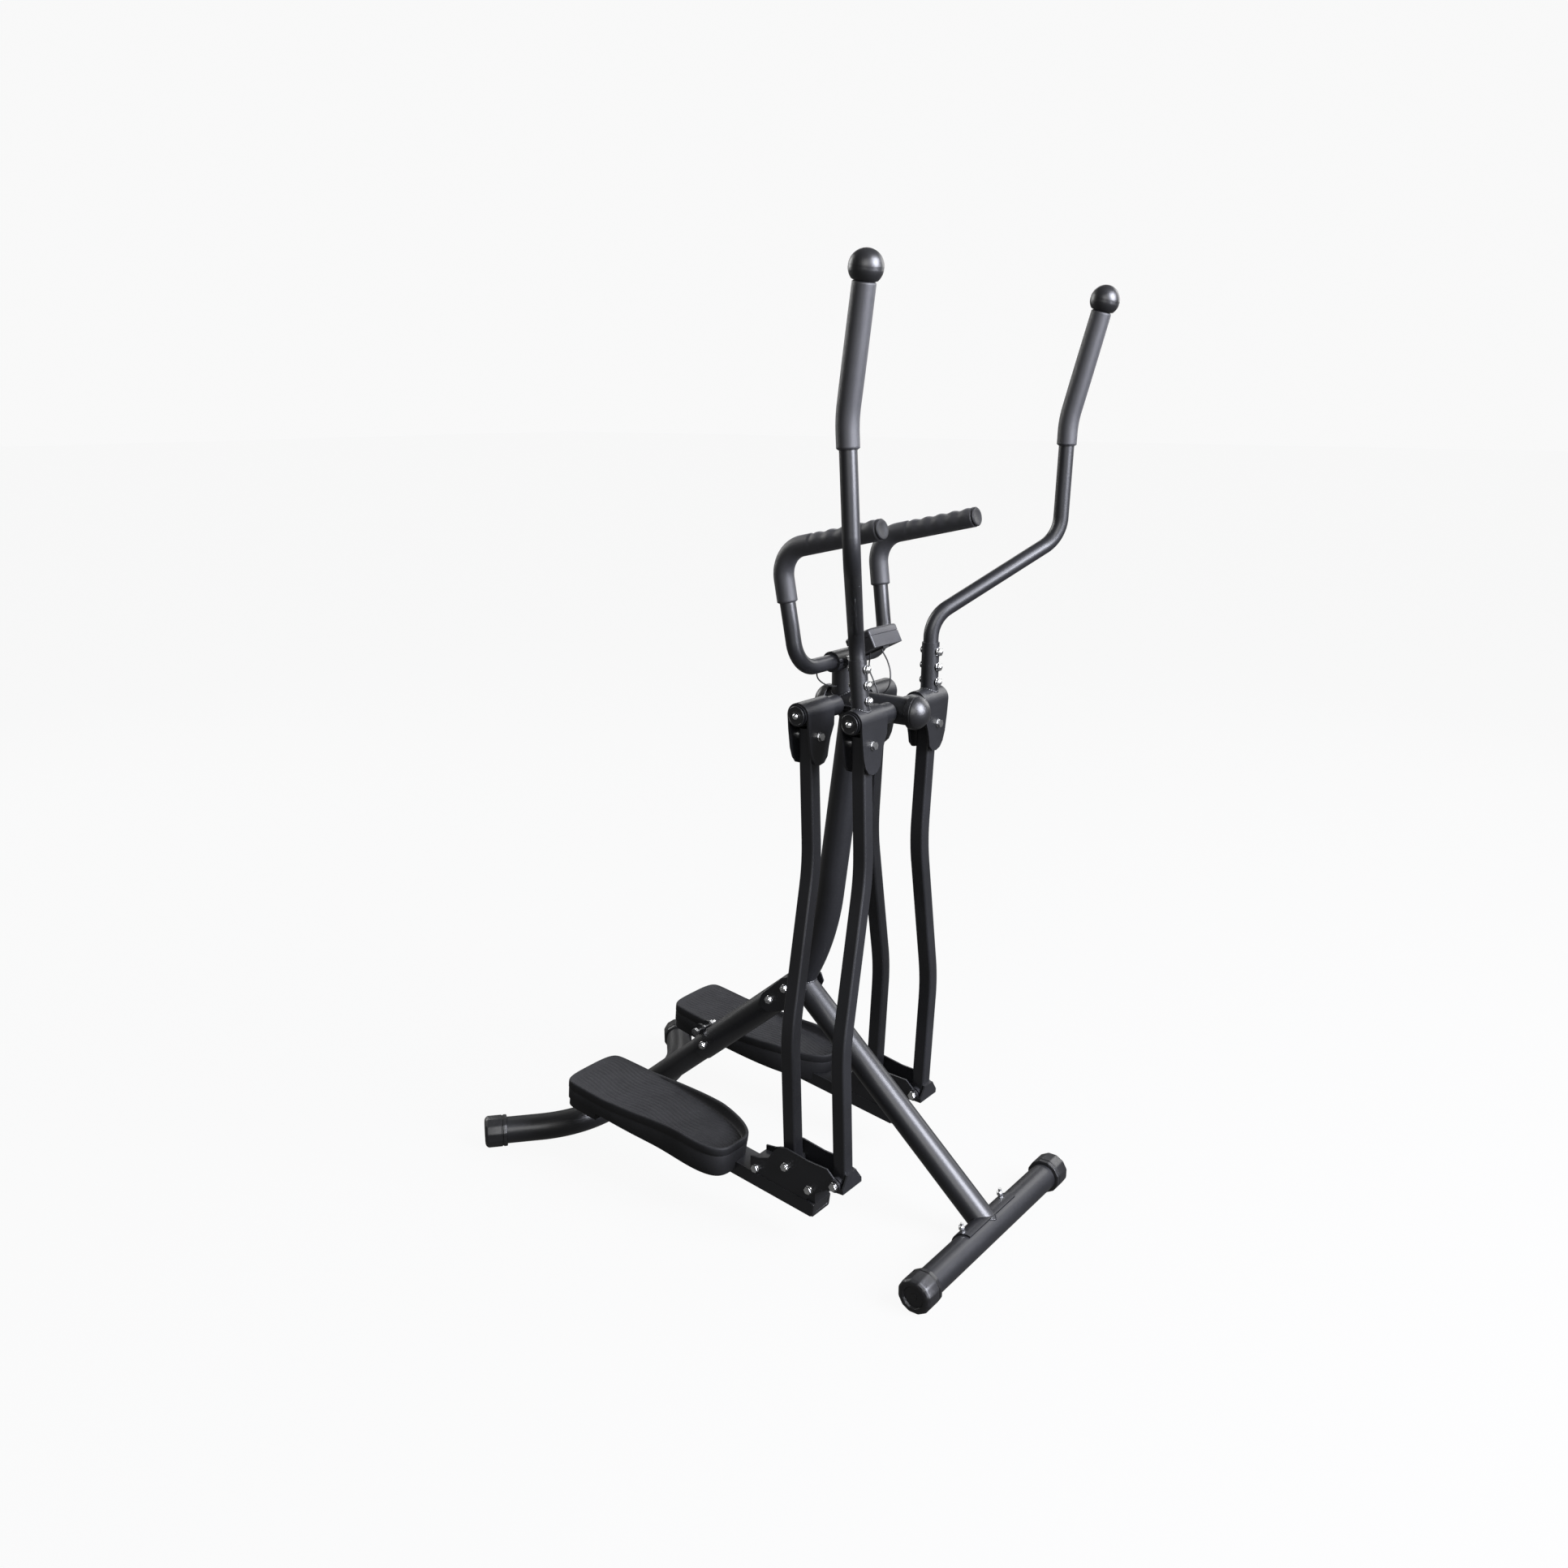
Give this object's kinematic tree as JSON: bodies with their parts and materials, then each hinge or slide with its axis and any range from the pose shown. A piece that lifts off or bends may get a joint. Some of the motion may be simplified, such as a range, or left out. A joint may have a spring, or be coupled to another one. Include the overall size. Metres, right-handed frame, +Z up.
{
  "type": "elliptical trainer",
  "caption": "Free-standing air-walk elliptical trainer with hub-hung parallel links, flat pedals, swinging arms, a fixed handlebar and a small console.",
  "frame": {"origin": "centre of the bounding box's underside, on the floor between the two stabilizers", "axes": "+Z up; the user faces -Y, towards the console; the user's right-hand side is -X"},
  "size_m": [0.6572, 0.9778, 1.5663],
  "materials": {
    "frame_paint": "satin black powder coat",
    "black_plastic": "fine-grained black moulding",
    "zinc_steel": "bright zinc plate",
    "foam": "closed-cell foam",
    "pedal_plastic": "ribbed non-slip moulding",
    "display": "clear cover over a blank display",
    "button": "smooth",
    "lead": "smooth sheath"
  },
  "bodies": {
    "stand": {"front_stabilizer": "frame_paint", "front_stabilizer_caps": "black_plastic", "rear_stabilizer": "frame_paint", "rear_stabilizer_caps": "black_plastic", "front_leg": "frame_paint", "saddle_bolts": "zinc_steel", "rear_leg": "frame_paint", "leg_bolts": "zinc_steel", "apex_bracket": "frame_paint", "apex_bolts": "zinc_steel", "main_post": "frame_paint", "top_beam": "frame_paint", "hub_caps": "black_plastic", "axles": "zinc_steel", "axle_bolts": "zinc_steel", "bar_clamp": "frame_paint", "clamp_screws": "zinc_steel", "fixed_handlebar": "frame_paint", "fixed_grip_plugs": "black_plastic", "console_bracket": "frame_paint", "console_back": "black_plastic", "console_front": "black_plastic", "console_lens": "display", "console_leads": "lead", "handlebar_lead": "lead", "fixed_grip_right": "foam", "fixed_grip_left": "foam"},
    "console_button": {"console_button": "button"},
    "front_link_right": {"front_hanger_right": "frame_paint", "front_bushings_right": "black_plastic", "front_link_right": "frame_paint", "front_bolts_right": "zinc_steel", "arm_right": "frame_paint", "arm_grip_right": "foam", "arm_cap_right": "black_plastic"},
    "rear_link_right": {"rear_hanger_right": "frame_paint", "rear_bushings_right": "black_plastic", "rear_link_right": "frame_paint", "rear_bolt_right": "zinc_steel"},
    "pedal_right": {"pedal_bar_right": "frame_paint", "bar_plugs_right": "black_plastic", "pedal_bracket_right": "frame_paint", "pedal_bolts_right": "zinc_steel", "pedal_right": "pedal_plastic"},
    "front_link_left": {"front_hanger_left": "frame_paint", "front_bushings_left": "black_plastic", "front_link_left": "frame_paint", "front_bolts_left": "zinc_steel", "arm_left": "frame_paint", "arm_grip_left": "foam", "arm_cap_left": "black_plastic"},
    "rear_link_left": {"rear_hanger_left": "frame_paint", "rear_bushings_left": "black_plastic", "rear_link_left": "frame_paint", "rear_bolt_left": "zinc_steel"},
    "pedal_left": {"pedal_bar_left": "frame_paint", "bar_plugs_left": "black_plastic", "pedal_bracket_left": "frame_paint", "pedal_bolts_left": "zinc_steel", "pedal_left": "pedal_plastic"}
  },
  "joints": [
    {"name": "right_front_swing", "type": "hinge", "parent": "stand", "child": "front_link_right", "pos_m": [0, -0.25589, 0.896], "axis": [1, 0, 0], "range_deg": [-28.2, 31.8]},
    {"name": "right_rear_swing", "type": "hinge", "parent": "stand", "child": "rear_link_right", "pos_m": [0, -0.15489, 0.896], "axis": [1, 0, 0], "range_deg": [-28.2, 31.8]},
    {"name": "right_pedal_pivot", "type": "hinge", "parent": "front_link_right", "child": "pedal_right", "pos_m": [0, -0.27966, 0.13937], "axis": [1, 0, 0], "range_deg": [-31.8, 28.2]},
    {"name": "left_front_swing", "type": "hinge", "parent": "stand", "child": "front_link_left", "pos_m": [0, -0.25589, 0.896], "axis": [1, 0, 0], "range_deg": [-32.9, 27.1]},
    {"name": "left_rear_swing", "type": "hinge", "parent": "stand", "child": "rear_link_left", "pos_m": [0, -0.15489, 0.896], "axis": [1, 0, 0], "range_deg": [-32.9, 27.1]},
    {"name": "left_pedal_pivot", "type": "hinge", "parent": "front_link_left", "child": "pedal_left", "pos_m": [0, -0.21759, 0.13997], "axis": [1, 0, 0], "range_deg": [-27.1, 32.9]},
    {"name": "console_button_press", "type": "slide", "parent": "stand", "child": "console_button", "axis": [0, -0.454, -0.891], "range_m": [0, 0.0015], "stiffness_N_per_m": 800}
  ],
  "couplings": [
    {"joint": "right_rear_swing", "follows": "right_front_swing", "ratio": 1},
    {"joint": "right_pedal_pivot", "follows": "right_front_swing", "ratio": -1},
    {"joint": "left_rear_swing", "follows": "left_front_swing", "ratio": 1},
    {"joint": "left_pedal_pivot", "follows": "left_front_swing", "ratio": -1}
  ]
}
